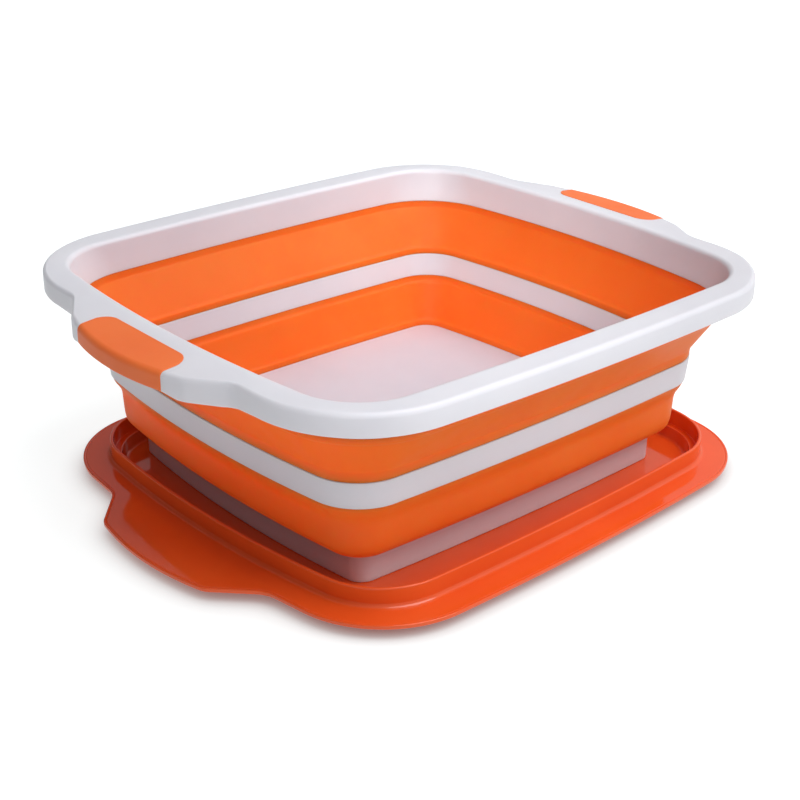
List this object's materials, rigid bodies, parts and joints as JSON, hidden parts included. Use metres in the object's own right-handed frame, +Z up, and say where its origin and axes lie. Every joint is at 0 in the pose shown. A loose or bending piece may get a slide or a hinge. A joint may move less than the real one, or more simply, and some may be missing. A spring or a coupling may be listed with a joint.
{
  "type": "collapsible storage crate",
  "caption": "Oblong folding storage tub: stiff rim, ring and base joined by soft bands, standing in its upturned lid.",
  "frame": {"origin": "on the surface the crate stands on, under the middle of the tub", "axes": "+Z up; +X along the tub's long side, through both hand tabs; +Y along its short side"},
  "size_m": [0.4208, 0.3457, 0.1361],
  "materials": {
    "lid_plastic": "gloss",
    "white_plastic": "satin",
    "band_elastomer": "matte",
    "grip_elastomer": "matte"
  },
  "bodies": {
    "lid": {"lid": "lid_plastic"},
    "base": {"base_tray": "white_plastic", "lower_band": "band_elastomer"},
    "ring": {"mid_ring": "white_plastic", "upper_band": "band_elastomer"},
    "rim": {"rim_frame": "white_plastic", "grip_left": "grip_elastomer", "grip_right": "grip_elastomer"}
  },
  "joints": [
    {"name": "tub_lift", "type": "slide", "parent": "lid", "child": "base", "axis": [0, 0, 1], "range_m": [0, 0.15]},
    {"name": "lower_fold", "type": "slide", "parent": "base", "child": "ring", "axis": [0, 0, -1], "range_m": [0, 0.036], "deforming": ["lower_band"]},
    {"name": "upper_fold", "type": "slide", "parent": "ring", "child": "rim", "axis": [0, 0, -1], "range_m": [0, 0.052], "deforming": ["upper_band"]}
  ]
}
